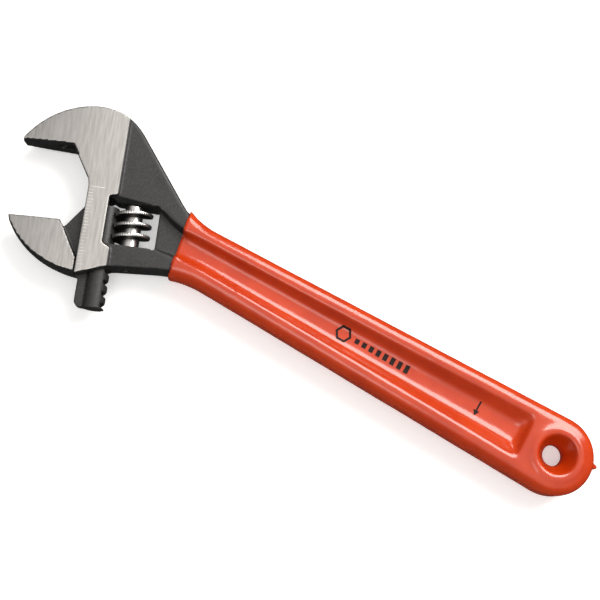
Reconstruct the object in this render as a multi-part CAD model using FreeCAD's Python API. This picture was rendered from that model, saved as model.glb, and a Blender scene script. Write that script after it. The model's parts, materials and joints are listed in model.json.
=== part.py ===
"""Adjustable wrench with a sliding lower jaw, worked by a worm screw, and a dipped grip.

Row frame: millimetres. The origin is the centre of the hang hole at half thickness. +X runs along
the handle to the head, +Z is square to the flat sides, and +Y is the side of the sliding jaw.
The wrench is symmetric about Z = 0.

The head has its own axes, turned by HEAD_ANGLE about Z: s points out along the jaws, t points the
way the sliding jaw opens. Their origin is where the rail's axis crosses the fixed jaw's face.
"""
import FreeCAD, Part
import math
import os
from FreeCAD import Vector

# ---- overall sizes -------------------------------------------------------------------------
HEAD_X = 250.9          # hang hole to head origin, along the handle
HEAD_Y = -24.5          # head origin, off the handle's centre line
HEAD_ANGLE = 22.5       # jaws against the handle
MAX_OPENING = 38.0      # between the jaw faces, fully open
JAW_REACH = 44.8        # rail axis to jaw tip
PAD_HALF = 8.3          # half thickness of the ground head
TIP_HALF = 4.9          # half thickness at the jaw tips
TAPER_START = 8.0       # s where the head starts to get thinner
FORGED_HALF = 7.3       # half thickness of the unground head and neck
DRAFT = 1.3             # how far a forged side leans in, from mid plane to pad height

# ---- jaws ----------------------------------------------------------------------------------
THROAT_S = 20.3         # inner end of the fixed jaw's face
THROAT_SLOPE = 60.0     # throat face against the jaw face, degrees
JAW_GAP = 0.5           # sliding jaw to the housing's front
NOTCH_R = 1.1           # relief at the root of the sliding jaw's face
NOTCH_IN_S = 1.2        # relief's centre, in from the face's inner end
THROAT_STEP_T = 1.9     # lower corner of the throat, above and below the slope's end
THROAT_STEP_S = 0.9
JAW_DEPTH = 25.0        # sliding jaw, face to heel at the housing
JAW_BULGE = (9.3, 14.3) # a point on the jaw's round back: in from the tip, below the face
TIP_BLUNT_T = 1.8       # blunt end of the jaw's tip

# ---- rail housing (the ground band) --------------------------------------------------------
FRONT_S = 10.2          # front face of the housing
BACK_S = -4.6           # back edge of the ground band
FOOT_FRONT_T = 62.8     # foot of the band, front corner
FOOT_BACK_T = 58.0      # foot of the band, back corner

# ---- rail, web and rack --------------------------------------------------------------------
RAIL_R = 5.2
RAIL_CLEAR = 0.3
RAIL_TOP_T = 27.4       # top of the rail with the jaw fully open
RAIL_LENGTH = 49.8
WEB_WIDTH = 4.8
WEB_OUT_S = 9.0         # free edge of the web under the jaw
WEB_CORNER_R = 0.8
WEB_END_R = 3.0
SLOT_END_S = 29.0       # where the web's slot comes out of the fixed jaw's face
RUN_OUT = 0.6           # bore left over past the rail's end when the jaw is shut

# ---- window and worm -----------------------------------------------------------------------
WINDOW_BACK_S = -24.4
WINDOW_FRONT_S = -0.4
WINDOW_TOP_T = 25.4
WINDOW_LENGTH = 21.0
WINDOW_R = 1.5
BAND_TOP_T = 22.4       # shoulder of the ground band above the window
BAND_LOW_T = 46.4       # shoulder of the ground band below the window
RELIEF_WIDTH = 3.2      # thumb relief at the window's front end; it fades out at the back
RELIEF_DEPTH = 4.0
PITCH = 5.5
CREST_R = 9.2
HUB_R = 4.4
MESH_DEPTH = 2.2        # how deep the thread reaches into the rail
CREST_WIDTH = 1.2
FLANK_ANGLE = 11.0
THREAD_MIDDLE_T = 35.4
THREAD_LENGTH = 15.8
END_PLAY = 0.15
FLANK_CLEAR = 0.28      # thread to rack, along the worm's axis
TIP_CLEAR = 0.35        # thread to rack, at the crest
FIRST_CREST_T = 31.5    # a place on the rail side where the thread's crest passes

# ---- pin and spring ------------------------------------------------------------------------
PIN_R = 1.8
PIN_BLIND = 6.0         # pin's seat in the upper flange
PIN_HEAD_R = 2.6
PIN_HEAD_LENGTH = 2.4
PIN_HEAD_SUNK = 2.6     # head's top below the flange's edge
PIN_SLOT = 0.8
WORM_RUNNING = 0.06     # worm bore over the pin, radial
SPRING_MEAN_R = 2.6
SPRING_WIRE_R = 0.35
SPRING_TURNS = 3.0
SPRING_POCKET_R = 3.3
SPRING_POCKET_DEPTH = 5.0
SPRING_CLEAR = 0.04

# ---- handle (bare steel) -------------------------------------------------------------------
TAIL_HALF_WIDTH = 17.5
WAIST_HALF_WIDTH = 13.0
WAIST_X = 172.0
TAIL_HALF = 8.6         # half thickness at the tail
HANDLE_ROUND = 4.0
NECK_BLEND_BACK = 40.0
NECK_BLEND_BELLY = 50.0
BACK_CORNER_SHIFT = 3.0 # rounded corner of the neck's back, towards the tail
LOWER_FLANGE_RUN = 30.5 # foot of the band to the belly's rounded corner
HANDLE_LAP = 32.0       # how far the head forging reaches into the handle
NECK_LEAN = 31.0        # neck's back against the handle, as the coat grows over it
WEB_FLOOR_Z = 3.0       # half thickness of the I-section's web
RECESS_TAIL_X = 15.2
RECESS_RIM_TAIL = 12.4
RECESS_RIM_WAIST = 8.2
RECESS_FLOOR_HALF = 4.8
RECESS_WAIST_X = 188.0  # past it the hollow widens to the window's height
# x, then the rim's half width at the back and at the belly, then the floor's
RECESS_NECK = [(203.0, 7.0, 8.2, 5.2, 6.4), (209.5, 7.8, 9.0, 6.6, 7.8)]
RECESS_END_RUN = 4.0
RECESS_CORNER_R = 3.0

# ---- grip (dipped coat) and hang hole ------------------------------------------------------
COAT = 1.3
DIP_X = 202.0           # where the coat ends, on the handle's centre line
DIP_LEAN = 11.5
HOLE_R = 4.9            # throat of the hang hole, through the coat
HOLE_MOUTH_R = 9.1
HOLE_THROAT_LENGTH = 4.0
RING_R = 12.6
RING_HEIGHT = 0.6
DRIP_LENGTH = 4.2
DRIP_R = 1.6
DRIP_BASE_R = 3.2
DRIP_ANGLE = 195.0      # direction of the drip, about the hole

BIG = 60.0              # reach of a cutting tool past the part
HEAD = FreeCAD.Placement(Vector(HEAD_X, HEAD_Y, 0), FreeCAD.Rotation(Vector(0, 0, 1), HEAD_ANGLE))


# ---- helpers -------------------------------------------------------------------------------
def in_head(shape):
    """Move a shape drawn in the head's own axes to the row frame."""
    moved = shape.copy()
    moved.Placement = HEAD.multiply(moved.Placement)
    return moved


def head_point(s, t):
    """Row-frame x, y of a point given in the head's axes."""
    point = HEAD.multVec(Vector(s, t, 0))
    return (point.x, point.y)


def outline(corners):
    """Closed wire. A corner is (x, y, radius), reached by a line, or (x, y, 0, (xm, ym)),
    reached by an arc through (xm, ym)."""
    spots = []
    count = len(corners)
    for index, corner in enumerate(corners):
        here = Vector(corner[0], corner[1], 0)
        radius = corner[2]
        if not radius:
            spots.append((here, None, here))
            continue
        before = corners[index - 1]
        after = corners[(index + 1) % count]
        back = (Vector(before[0], before[1], 0) - here).normalize()
        onward = (Vector(after[0], after[1], 0) - here).normalize()
        half = back.getAngle(onward) / 2
        reach = radius / math.tan(half)
        inward = (back + onward).normalize()
        middle = here + inward * (radius / math.sin(half) - radius)
        spots.append((here + back * reach, middle, here + onward * reach))
    edges = []
    for index, corner in enumerate(corners):
        start = spots[index - 1][2]
        arrive, middle, leave = spots[index]
        if len(corner) > 3:
            through = Vector(corner[3][0], corner[3][1], 0)
            edges.append(Part.Arc(start, through, arrive).toShape())
        elif start.distanceToPoint(arrive) > 1e-6:
            edges.append(Part.makeLine(start, arrive))
        if middle:
            edges.append(Part.Arc(arrive, middle, leave).toShape())
    return Part.Wire(Part.__sortEdges__(edges))


def prism(corners, half):
    """Straight-sided plate of the given outline, from -half to +half."""
    face = Part.Face(outline(corners))
    face.translate(Vector(0, 0, -half))
    return face.extrude(Vector(0, 0, 2 * half))


def drafted(corners, half, lean):
    """Forged plate: the outline at mid plane, its sides leaning in by lean at +half and -half."""
    middle = outline(corners)
    top = middle.makeOffset2D(-lean, 1, False, False)
    top.translate(Vector(0, 0, half))
    bottom = top.copy()
    bottom.translate(Vector(0, 0, -2 * half))
    upper = Part.makeLoft([middle, top], True, True)
    lower = Part.makeLoft([middle, bottom], True, True)
    return upper.fuse(lower).removeSplitter()


def rod(radius, t_from, t_to, s=0.0):
    """Cylinder along t in the head's axes."""
    return Part.makeCylinder(radius, t_to - t_from, Vector(s, t_from, 0), Vector(0, 1, 0))


def jaw_taper():
    """Everything between the two ground sides: flat, then curving to the thin jaw tips."""
    run = JAW_REACH - TAPER_START
    drop = PAD_HALF - TIP_HALF
    radius = (run ** 2 + drop ** 2) / (2 * drop)
    end = TAPER_START + run * 1.15
    end_z = PAD_HALF - (radius - math.sqrt(radius ** 2 - (end - TAPER_START) ** 2))
    mid = TAPER_START + run * 0.6
    mid_z = PAD_HALF - (radius - math.sqrt(radius ** 2 - (mid - TAPER_START) ** 2))
    edges = []
    for side in (1, -1):
        flat_end = Vector(TAPER_START, 0, side * PAD_HALF)
        tip = Vector(end, 0, side * end_z)
        edges.append(Part.makeLine(Vector(-BIG, 0, side * PAD_HALF), flat_end))
        edges.append(Part.Arc(flat_end, Vector(mid, 0, side * mid_z), tip).toShape())
    edges.append(Part.makeLine(Vector(-BIG, 0, -PAD_HALF), Vector(-BIG, 0, PAD_HALF)))
    edges.append(Part.makeLine(Vector(end, 0, -end_z), Vector(end, 0, end_z)))
    face = Part.Face(Part.Wire(Part.__sortEdges__(edges)))
    face.translate(Vector(0, -BIG, 0))
    return face.extrude(Vector(0, 3 * BIG, 0))


# ---- sizes that follow from the ones above -------------------------------------------------
WORM_S = -(CREST_R + RAIL_R - MESH_DEPTH)
WINDOW_BOTTOM_T = WINDOW_TOP_T + WINDOW_LENGTH
WORM_TOP_T = WINDOW_TOP_T + END_PLAY
WORM_LENGTH = WINDOW_LENGTH - 2 * END_PLAY
RAIL_END_T = RAIL_TOP_T + RAIL_LENGTH
SHUT_TOP_T = RAIL_TOP_T - MAX_OPENING - RUN_OUT
THROAT_T = (THROAT_S - FRONT_S) * math.tan(math.radians(THROAT_SLOPE))
FACE_S = THROAT_S + 0.4         # inner end of the sliding jaw's face
SLOT_HALF = WEB_WIDTH / 2 + RAIL_CLEAR
NECK_BOTTOM_S = BACK_S - 1.0
NECK_BOTTOM_T = FOOT_BACK_T + 0.2

# back of the head, in its own axes: three arcs, each by a point on it and its end, and a straight side
CROWN_START = (JAW_REACH + 0.6, -1.0)
CROWN_MID = (32.0, -14.6)
BACK_CROWN = (15.0, -21.1)
SHOULDER_MID = (6.5, -21.2)
BACK_TURN = (-2.4, -18.7)
TURN_MID = (-7.5, -15.5)
BACK_START = (-11.5, -11.4)
BACK_END = (-41.0, 25.2)

# how far the forging stands past what is machined off it, and how far a tool runs past the part
SPARE = 2.0
OVER = 10.0


def handle_half_width(x, coat):
    """Half width of the straight part of the handle at x."""
    slope = (WAIST_HALF_WIDTH - TAIL_HALF_WIDTH) / WAIST_X
    return TAIL_HALF_WIDTH + slope * x + coat


# ---- body ----------------------------------------------------------------------------------
def head_forging():
    """Fixed jaw, rail housing and neck, before grinding and machining."""
    joint_x = DIP_X - HANDLE_LAP
    near = handle_half_width(joint_x, 0)
    corners = [
        (THROAT_S + SPARE, SPARE, 0),
        (CROWN_START[0], SPARE, 0),
        (CROWN_START[0], CROWN_START[1], 0),
        (BACK_CROWN[0], BACK_CROWN[1], 0, CROWN_MID),
        (BACK_TURN[0], BACK_TURN[1], 0, SHOULDER_MID),
        (BACK_START[0], BACK_START[1], 0, TURN_MID),
    ]
    shape = []
    for corner in corners:
        x, y = head_point(corner[0], corner[1])
        if len(corner) > 3:
            shape.append((x, y, 0, head_point(corner[3][0], corner[3][1])))
        else:
            shape.append((x, y, 0))
    shape.append(back_corner(0))
    shape.append((joint_x, -near, 0))
    shape.append((joint_x, near, 0))
    shape.append(belly_corner(0))
    front = FRONT_S + SPARE
    for s, t in ((NECK_BOTTOM_S, NECK_BOTTOM_T), (front, FOOT_FRONT_T + SPARE), (front, THROAT_T)):
        x, y = head_point(s, t)
        shape.append((x, y, 0))
    return drafted(shape, PAD_HALF, DRAFT)


def back_corner(coat):
    """Rounded corner where the head's straight back meets the handle."""
    x, y = head_point(*BACK_END)
    return (x - BACK_CORNER_SHIFT, -handle_half_width(x, coat), NECK_BLEND_BACK - coat)


def belly_corner(coat):
    """Rounded corner where the handle meets the lower flange."""
    x = head_point(BACK_S, NECK_BOTTOM_T)[0] - LOWER_FLANGE_RUN
    return (x, handle_half_width(x, coat), NECK_BLEND_BELLY - coat)


def handle_outline(coat):
    """Handle from the tail's round to inside the head, grown by coat."""
    tail = handle_half_width(0, coat)
    back_x, back_y = head_point(BACK_START[0], BACK_START[1])
    flange_x, flange_y = head_point(NECK_BOTTOM_S, NECK_BOTTOM_T)
    lean = math.radians(NECK_LEAN)
    grow_x = coat * math.sin(lean)
    grow_y = coat * math.cos(lean)
    return [
        (0, -tail, 0),
        back_corner(coat),
        (back_x + grow_x, back_y - grow_y, 0),
        (flange_x - grow_x, flange_y + grow_y, 0),
        belly_corner(coat),
        (0, tail, 0),
        (0, -tail, 0, (-tail, 0)),
    ]


def handle_solid(coat, end_x, round_r):
    """Rounded bar of the handle, without its recesses."""
    bar = prism(handle_outline(coat), BIG)
    tail_x = -TAIL_HALF_WIDTH - coat - SPARE
    half_tail = TAIL_HALF + coat
    slope = (FORGED_HALF - TAIL_HALF) / DIP_X
    half_end = TAIL_HALF + slope * end_x + coat
    side = [
        Vector(tail_x, -BIG, half_tail),
        Vector(end_x, -BIG, half_end),
        Vector(end_x, -BIG, -half_end),
        Vector(tail_x, -BIG, -half_tail),
    ]
    wedge = Part.Face(Part.makePolygon(side + [side[0]])).extrude(Vector(0, 2 * BIG, 0))
    bar = bar.common(wedge)
    rims = []
    for edge in bar.Edges:
        ends = [vertex.Point for vertex in edge.Vertexes]
        flat = all(abs(point.z) > FORGED_HALF * 0.6 for point in ends)
        inner_end = all(point.x > end_x - 0.01 for point in ends)
        along_z = abs(ends[0].z - ends[-1].z) > FORGED_HALF
        if flat and not inner_end and not along_z:
            rims.append(edge)
    return bar.makeFillet(round_r, rims)


def recess(coat):
    """The long hollows of the I-section, one on each side, as cutting tools."""
    floor = WEB_FLOOR_Z + coat
    rim_z = TAIL_HALF + coat
    shrink = coat * 0.6
    start = RECESS_TAIL_X + shrink
    inner = start + RECESS_END_RUN
    tail_rim = RECESS_RIM_TAIL - shrink
    floor_half = RECESS_FLOOR_HALF - shrink
    mouth_s = WINDOW_BACK_S + 1.5
    neck = [(RECESS_WAIST_X, RECESS_RIM_WAIST, RECESS_RIM_WAIST, RECESS_FLOOR_HALF, RECESS_FLOOR_HALF)]
    neck += RECESS_NECK
    upper = [(x, -(rim - shrink), -(bed - shrink)) for x, rim, _, bed, _ in neck]
    lower = [(x, rim - shrink, bed - shrink) for x, _, rim, _, bed in neck]
    top_x, top_y = head_point(mouth_s, WINDOW_TOP_T - 0.4)
    low_x, low_y = head_point(mouth_s, WINDOW_BOTTOM_T + 0.4)
    upper.append((top_x, top_y - 0.4, top_y))
    lower.append((low_x, low_y + 0.6, low_y))
    way_round = upper + lower[::-1]
    rim = [(start, -tail_rim)] + [(x, y) for x, y, _ in way_round] + [(start, tail_rim)]
    bed = [(inner, -floor_half)] + [(x, y) for x, _, y in way_round] + [(inner, floor_half)]
    rounds = [1] + [0] * len(way_round) + [1]
    stretch = 1.5
    tools = []
    for side in (1, -1):
        low_points = [Vector(x, y, side * floor) for x, y in bed]
        high_points = []
        for (x, y), (bx, by) in zip(rim, bed):
            high_points.append(Vector(bx + (x - bx) * stretch, by + (y - by) * stretch,
                                      side * (floor + (rim_z - floor) * stretch)))
        wires = []
        for points, radius in ((low_points, RECESS_CORNER_R / 2), (high_points, RECESS_CORNER_R)):
            wire = outline([(point.x, point.y, r * radius) for point, r in zip(points, rounds)])
            wire.translate(Vector(0, 0, points[0].z))
            wires.append(wire)
        tools.append(Part.makeLoft(wires, True, True))
    return tools


def hang_hole(coat_removed):
    """Throat and the two funnel mouths of the hang hole, as one cutting tool."""
    throat = HOLE_R + coat_removed
    mouth = HOLE_MOUTH_R + coat_removed
    half = HOLE_THROAT_LENGTH / 2
    face_z = TAIL_HALF + COAT - coat_removed
    tool = Part.makeCylinder(throat, 2 * BIG, Vector(0, 0, -BIG))
    run = (mouth - throat) / (face_z - half)
    reach = face_z + 4 - half
    for side in (1, -1):
        cone = Part.makeCone(throat, throat + run * reach, reach, Vector(0, 0, side * half),
                             Vector(0, 0, side))
        tool = tool.fuse(cone)
    return tool


def window():
    """Opening through the head that the worm stands in."""
    corners = [
        (WINDOW_BACK_S, WINDOW_TOP_T, WINDOW_R),
        (WINDOW_FRONT_S, WINDOW_TOP_T, WINDOW_R),
        (WINDOW_FRONT_S, WINDOW_BOTTOM_T, WINDOW_R),
        (WINDOW_BACK_S, WINDOW_BOTTOM_T, WINDOW_R),
    ]
    return prism(corners, BIG)


def thumb_reliefs():
    """Bevels on the window's top edge, one on each side, fading out towards the back."""
    tools = []
    for side in (1, -1):
        ends = []
        for s, share in ((WINDOW_BACK_S, 0.02), (WINDOW_FRONT_S, 1.0)):
            width = RELIEF_WIDTH * share
            depth = RELIEF_DEPTH * share
            high = side * (FORGED_HALF + 0.01)
            points = [
                Vector(s, WINDOW_TOP_T - width, high),
                Vector(s, WINDOW_TOP_T + 0.5, high),
                Vector(s, WINDOW_TOP_T + 0.5, high - side * depth),
                Vector(s, WINDOW_TOP_T, high - side * depth),
            ]
            ends.append(Part.makePolygon(points + [points[0]]))
        tools.append(Part.makeLoft(ends, True, True))
    return tools


def ground_band():
    """Outline of what is ground flat on the body: jaw, housing and its foot."""
    return [
        (JAW_REACH + OVER, THROAT_T, 0),
        (JAW_REACH + OVER, -BIG / 2, 0),
        (BACK_S, -BIG / 2, 0),
        (BACK_S, BAND_TOP_T, 1.5),
        (WINDOW_FRONT_S, BAND_TOP_T + 1.0, 0.8),
        (WINDOW_FRONT_S, BAND_LOW_T, 1.0),
        (BACK_S, BAND_LOW_T + 2.4, 1.5),
        (BACK_S, FOOT_BACK_T + OVER, 0),
        (FRONT_S + SPARE, FOOT_BACK_T + OVER, 0),
        (FRONT_S + SPARE, THROAT_T, 0),
    ]


def opening_tool():
    """What is machined away in front of the body: jaw face, throat and housing front."""
    corners = [
        (THROAT_S, 0, 0),
        (JAW_REACH + OVER, 0, 0),
        (JAW_REACH + OVER, 2 * BIG, 0),
        (FRONT_S, 2 * BIG, 0),
        (FRONT_S, THROAT_T + THROAT_STEP_T, 0),
        (FRONT_S + THROAT_STEP_S, THROAT_T - THROAT_STEP_T, 0),
    ]
    return prism(corners, BIG)


def foot_tool():
    """What is machined away below the housing's foot."""
    slope = (FOOT_FRONT_T - FOOT_BACK_T) / (FRONT_S - BACK_S)
    corners = [
        (FRONT_S + OVER, FOOT_FRONT_T + slope * OVER, 0),
        (BACK_S, FOOT_BACK_T, 0),
        (BACK_S - SPARE, FOOT_FRONT_T + OVER, 0),
        (FRONT_S + OVER, FOOT_FRONT_T + 2 * OVER, 0),
    ]
    return prism(corners, BIG)


def rail_way():
    """Keyhole that the rail and its web slide in, from the foot into the fixed jaw."""
    bore = rod(RAIL_R + RAIL_CLEAR, SHUT_TOP_T, FOOT_FRONT_T + OVER)
    past = FRONT_S + OVER
    corners = [
        (0, SHUT_TOP_T, 0),
        (FRONT_S + 1.0, SHUT_TOP_T - 1.4, 0),
        (SLOT_END_S, 0, 0),
        (SLOT_END_S, OVER, 0),
        (past, OVER, 0),
        (past, FOOT_FRONT_T + OVER, 0),
        (0, FOOT_FRONT_T + OVER, 0),
    ]
    return bore.fuse(prism(corners, SLOT_HALF))


def pin_way():
    """Hole for the worm's pin: from the lower flange's edge into the upper flange."""
    flange_t = flange_edge_t()
    shank = rod(PIN_R, WINDOW_TOP_T - PIN_BLIND, flange_t + 10, WORM_S)
    head = rod(PIN_HEAD_R, flange_t - PIN_HEAD_SUNK - PIN_HEAD_LENGTH, flange_t + 10, WORM_S)
    return shank.fuse(head)


def flange_edge_t():
    """t of the lower flange's edge under the worm's axis."""
    edge_x, edge_y = head_point(NECK_BOTTOM_S, NECK_BOTTOM_T)
    corner = belly_corner(0)
    along = Vector(edge_x - corner[0], edge_y - corner[1], 0)
    inverse = HEAD.inverse()
    foot = inverse.multVec(Vector(edge_x, edge_y, 0))
    knee = inverse.multVec(Vector(corner[0], corner[1], 0))
    share = (WORM_S - foot.x) / (knee.x - foot.x)
    return foot.y + (knee.y - foot.y) * share


def make_body():
    """Fixed jaw, housing, neck and handle: one forging."""
    beyond = past_dip_line()
    forging = ground_forging().common(beyond)
    handle = handle_solid(0, DIP_X + 8, HANDLE_ROUND).cut(beyond)
    body = forging.fuse(handle)
    for tool in recess(0):
        body = body.cut(tool)
    body = body.cut(hang_hole(COAT))
    band = prism(ground_band(), BIG)
    reliefs = [tool.cut(band) for tool in thumb_reliefs()]
    for tool in reliefs + [window(), opening_tool(), foot_tool(), rail_way(), pin_way()]:
        body = body.cut(in_head(tool))
    return body.removeSplitter()


def past_dip_line():
    """Everything on the head's side of the line where the coat ends."""
    beyond = Part.makeBox(3 * BIG, 4 * BIG, 2 * BIG, Vector(0, -2 * BIG, -BIG))
    beyond.rotate(Vector(), Vector(0, 0, 1), DIP_LEAN)
    beyond.translate(Vector(DIP_X, 0, 0))
    return beyond


def ground_forging():
    """Head forging, ground on both sides to the pad outline, lower elsewhere."""
    full = head_forging().common(in_head(jaw_taper()))
    pad = full.common(in_head(prism(ground_band(), BIG)))
    slab = prism([(-BIG, -3 * BIG, 0), (3 * HEAD_X, -3 * BIG, 0), (3 * HEAD_X, 3 * BIG, 0),
                  (-BIG, 3 * BIG, 0)], FORGED_HALF)
    return full.common(slab).fuse(pad)


# ---- sliding jaw ---------------------------------------------------------------------------
def make_movable_jaw():
    """Jaw, web, rail and rack: one piece, drawn in the head's axes, fully open."""
    face_t = MAX_OPENING
    back_s = FRONT_S + JAW_GAP
    heel_t = face_t + (FACE_S - back_s) * math.tan(math.radians(THROAT_SLOPE))
    low_t = face_t + JAW_DEPTH
    corners = [
        (back_s - SPARE, face_t - SPARE, 0),
        (JAW_REACH + TIP_BLUNT_T, face_t - SPARE, 0),
        (JAW_REACH + DRAFT / 2, face_t + TIP_BLUNT_T, 0),
        (back_s + 1.0, low_t, 0, (JAW_REACH - JAW_BULGE[0], face_t + JAW_BULGE[1])),
        (back_s - SPARE, low_t + 0.4, 0),
    ]
    jaw = drafted(corners, PAD_HALF, DRAFT).common(jaw_taper())
    keep = [
        (FACE_S, face_t, 0),
        (JAW_REACH + OVER, face_t, 0),
        (JAW_REACH + OVER, low_t + OVER, 0),
        (back_s, low_t + OVER, 0),
        (back_s, heel_t, 0),
    ]
    jaw = jaw.common(prism(keep, BIG))
    web_corners = [
        (0, RAIL_TOP_T, 0),
        (FRONT_S, RAIL_TOP_T, WEB_CORNER_R),
        (FACE_S - 2.2, face_t + 1.0, 0),
        (FACE_S + SPARE, face_t + 1.0, 0),
        (FACE_S + SPARE, face_t + JAW_BULGE[1], 0),
        (back_s + 1.0, low_t - SPARE, 0),
        (WEB_OUT_S, low_t + 1.0, 0),
        (WEB_OUT_S, RAIL_END_T, WEB_END_R),
        (0, RAIL_END_T, 0),
    ]
    web = prism(web_corners, WEB_WIDTH / 2)
    rail = rod(RAIL_R, RAIL_TOP_T, RAIL_END_T)
    shape = jaw.fuse(web).fuse(rail)
    notch = Part.makeCylinder(NOTCH_R, 2 * BIG, Vector(FACE_S - NOTCH_IN_S, face_t + NOTCH_R / 2, -BIG))
    shape = shape.cut(notch)
    for groove in rack_grooves():
        shape = shape.cut(groove)
    return in_head(shape.removeSplitter())


def thread_half_width(radius):
    """Half width of the worm's thread at a radius."""
    return CREST_WIDTH / 2 + (CREST_R - radius) * math.tan(math.radians(FLANK_ANGLE))


def rack_grooves():
    """Rings that the thread's turns leave in the rail, each leaning by the lead angle."""
    lead = math.degrees(math.atan(PITCH / (2 * math.pi * (CREST_R - MESH_DEPTH / 3))))
    inner = CREST_R - MESH_DEPTH - 3
    outer = CREST_R + TIP_CLEAR
    inner_half = thread_half_width(inner) + FLANK_CLEAR
    outer_half = thread_half_width(CREST_R) + FLANK_CLEAR
    first = math.ceil((RAIL_TOP_T - FIRST_CREST_T - PITCH) / PITCH)
    last = math.floor((RAIL_END_T - FIRST_CREST_T) / PITCH)
    grooves = []
    for turn in range(first, last + 1):
        t = FIRST_CREST_T + turn * PITCH
        points = [
            Vector(inner, -inner_half, 0),
            Vector(outer, -outer_half, 0),
            Vector(outer, outer_half, 0),
            Vector(inner, inner_half, 0),
        ]
        ring = Part.Face(Part.makePolygon(points + [points[0]])).revolve(Vector(), Vector(0, 1, 0), 360)
        ring.rotate(Vector(), Vector(1, 0, 0), lead)
        ring.translate(Vector(WORM_S, t, 0))
        grooves.append(ring)
    return grooves


# ---- worm, pin and spring ------------------------------------------------------------------
def along_t(shape, t):
    """Turn a shape drawn along Z to run along t on the worm's axis, its zero at t."""
    turned = shape.copy()
    turned.rotate(Vector(), Vector(1, 0, 0), -90)
    turned.translate(Vector(WORM_S, t, 0))
    return turned


def make_worm():
    """Knurled screw: a thin single-start thread on a hub, with a bore and a spring pocket."""
    below = math.ceil((FIRST_CREST_T - WORM_TOP_T) / PITCH) + 1
    turns = math.ceil(WORM_LENGTH / PITCH) + 2
    sunk = 0.5
    root = HUB_R - sunk
    root_half = thread_half_width(root)
    crest_half = CREST_WIDTH / 2
    helix = Part.makeHelix(PITCH, turns * PITCH, root)
    points = [
        Vector(root, 0, -root_half),
        Vector(CREST_R, 0, -crest_half),
        Vector(CREST_R, 0, crest_half),
        Vector(root, 0, root_half),
    ]
    profile = Part.makePolygon(points + [points[0]])
    thread = Part.Wire(helix).makePipeShell([profile], True, True)
    thread = along_t(thread, FIRST_CREST_T - below * PITCH)
    first = THREAD_MIDDLE_T - THREAD_LENGTH / 2
    band = rod(CREST_R + 1, first, first + THREAD_LENGTH, WORM_S)
    hub = rod(HUB_R, WORM_TOP_T, WORM_TOP_T + WORM_LENGTH, WORM_S)
    worm = thread.common(band).fuse(hub)
    worm = worm.cut(rod(PIN_R + WORM_RUNNING, WORM_TOP_T - 1, WORM_TOP_T + WORM_LENGTH + 1, WORM_S))
    worm = worm.cut(rod(SPRING_POCKET_R, WORM_TOP_T - 1, WORM_TOP_T + SPRING_POCKET_DEPTH, WORM_S))
    return in_head(worm)


def make_pin():
    """Pin the worm turns on, with a slotted head sunk in the lower flange."""
    flange_t = flange_edge_t()
    head_top = flange_t - PIN_HEAD_SUNK
    head_low = head_top - PIN_HEAD_LENGTH
    pin = rod(PIN_R, WINDOW_TOP_T - PIN_BLIND, head_low, WORM_S)
    pin = pin.fuse(rod(PIN_HEAD_R, head_low, head_top, WORM_S))
    slot = Part.makeBox(2 * PIN_HEAD_R + 1, 1.0, PIN_SLOT,
                        Vector(WORM_S - PIN_HEAD_R - 0.5, head_top - 1.0, -PIN_SLOT / 2))
    return in_head(pin.cut(slot).removeSplitter())


def make_spring():
    """Coil spring in the worm's pocket, pressed between the window's wall and the worm."""
    room = WORM_TOP_T + SPRING_POCKET_DEPTH - WINDOW_TOP_T
    height = room - 2 * SPRING_WIRE_R - 2 * SPRING_CLEAR
    helix = Part.makeHelix(height / SPRING_TURNS, height, SPRING_MEAN_R)
    circle = Part.makeCircle(SPRING_WIRE_R, Vector(SPRING_MEAN_R, 0, 0), Vector(0, 1, 0))
    coil = Part.Wire(helix).makePipeShell([Part.Wire(circle)], True, True)
    return in_head(along_t(coil, WINDOW_TOP_T + SPRING_WIRE_R + SPRING_CLEAR))


# ---- grip ----------------------------------------------------------------------------------
def make_grip(body):
    """Dipped coat over the handle, through the hang hole, with its drip at the tail."""
    coat = handle_solid(COAT, DIP_X + 8, HANDLE_ROUND + COAT)
    for tool in recess(COAT):
        coat = coat.cut(tool)
    ring = Part.makeCylinder(RING_R, 2 * (TAIL_HALF + COAT + RING_HEIGHT),
                             Vector(0, 0, -(TAIL_HALF + COAT + RING_HEIGHT)))
    way = math.radians(DRIP_ANGLE)
    heading = Vector(math.cos(way), math.sin(way), 0)
    edge = TAIL_HALF_WIDTH + COAT
    tip = heading * (edge + DRIP_LENGTH - DRIP_R)
    drip = Part.makeSphere(DRIP_R, tip)
    drip = drip.fuse(Part.makeCone(DRIP_BASE_R, DRIP_R, DRIP_LENGTH, tip - heading * DRIP_LENGTH, heading))
    coat = coat.fuse(ring).fuse(drip)
    coat = coat.cut(hang_hole(0))
    return coat.cut(past_dip_line()).cut(body)


# ---- write the pieces ----------------------------------------------------------------------
def main():
    os.makedirs("parts", exist_ok=True)
    body = make_body()
    pieces = {
        "body": body,
        "grip": make_grip(body),
        "movable_jaw": make_movable_jaw(),
        "adjusting_worm": make_worm(),
        "worm_pin": make_pin(),
        "worm_spring": make_spring(),
    }
    for name, shape in pieces.items():
        box = shape.optimalBoundingBox()
        print(name, "solids", len(shape.Solids), "valid", shape.isValid(), "volume", round(shape.Volume),
              "x", round(box.XMin, 1), round(box.XMax, 1), "y", round(box.YMin, 1), round(box.YMax, 1),
              "z", round(box.ZMin, 1), round(box.ZMax, 1))
        shape.exportStep("parts/" + name + ".step")


main()
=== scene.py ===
# %% [markdown]
# # An adjustable wrench, finished in Blender
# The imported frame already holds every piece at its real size: one forging with the fixed jaw and the
# handle, the sliding jaw with its rack, the worm, its pin and spring, and the dipped grip. This lesson
# gives them the surfaces of the real tool: soft forged edges, flat ground sides with brush lines, a
# turned and knurled worm, and a thick glossy coat of vinyl.
#
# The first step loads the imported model. Its objects are never moved: a new piece either stands in for
# one of them or lies on it, and rides with the same body when the jaw slides and the worm turns.

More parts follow.
